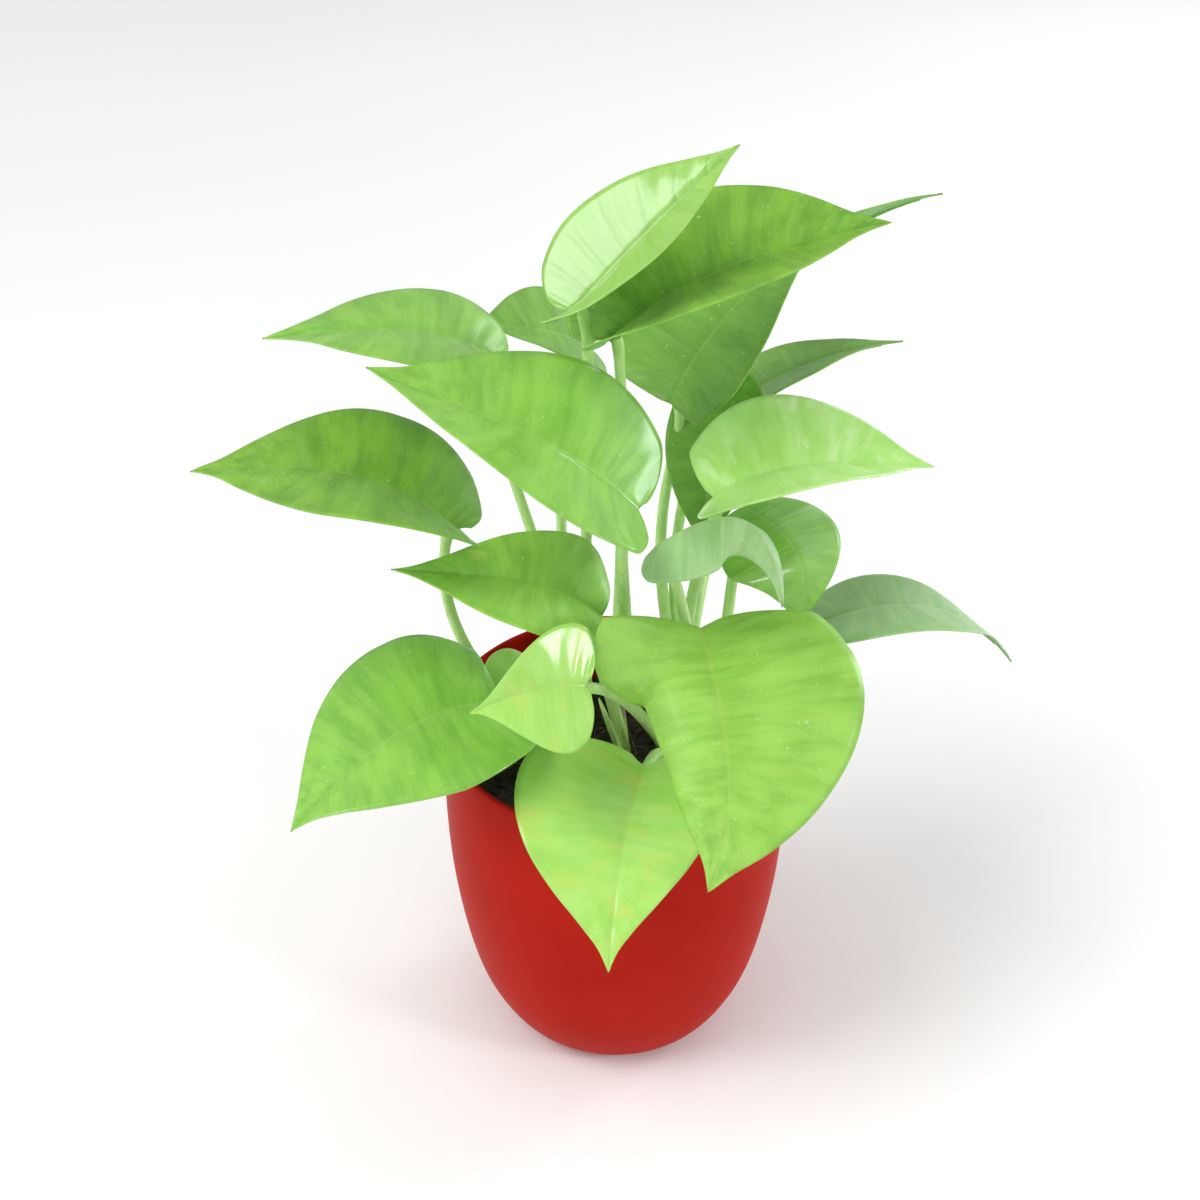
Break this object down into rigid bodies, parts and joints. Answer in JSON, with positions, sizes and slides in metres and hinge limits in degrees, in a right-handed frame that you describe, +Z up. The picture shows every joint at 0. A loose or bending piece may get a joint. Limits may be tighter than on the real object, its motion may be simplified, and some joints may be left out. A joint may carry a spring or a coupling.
{
  "type": "potted golden pothos",
  "caption": "Young golden pothos with glossy heart-shaped leaves on upright petioles, in a round tapered red plastic pot.",
  "frame": {"origin": "middle of the flat foot that the pot rests on", "axes": "+Z up along the pot's axis, -Y toward the side that the picture was taken from, +X to the right as seen from there"},
  "size_m": [0.2703, 0.1993, 0.3462],
  "materials": {
    "pot": "satin",
    "soil": "matte",
    "stem": "satin",
    "leaf": "gloss",
    "young_leaf": "gloss"
  },
  "bodies": {
    "root": {"pot": "pot", "soil": "soil", "shoot_left": "stem", "shoot_back": "stem", "shoot_middle": "stem", "shoot_front_right": "stem", "shoot_rear_right": "stem", "shoot_right": "stem", "leaf_01": "young_leaf", "leaf_02": "leaf", "leaf_03": "leaf", "leaf_04": "leaf", "leaf_05": "leaf", "leaf_06": "leaf", "leaf_07": "leaf", "leaf_08": "leaf", "leaf_09": "leaf", "leaf_10": "leaf", "leaf_11": "leaf", "leaf_12": "young_leaf", "leaf_13": "leaf", "leaf_14": "young_leaf", "leaf_15": "leaf", "leaf_16": "leaf", "leaf_17": "leaf", "leaf_18": "leaf", "leaf_19": "leaf", "leaf_20": "young_leaf"}
  },
  "joints": []
}
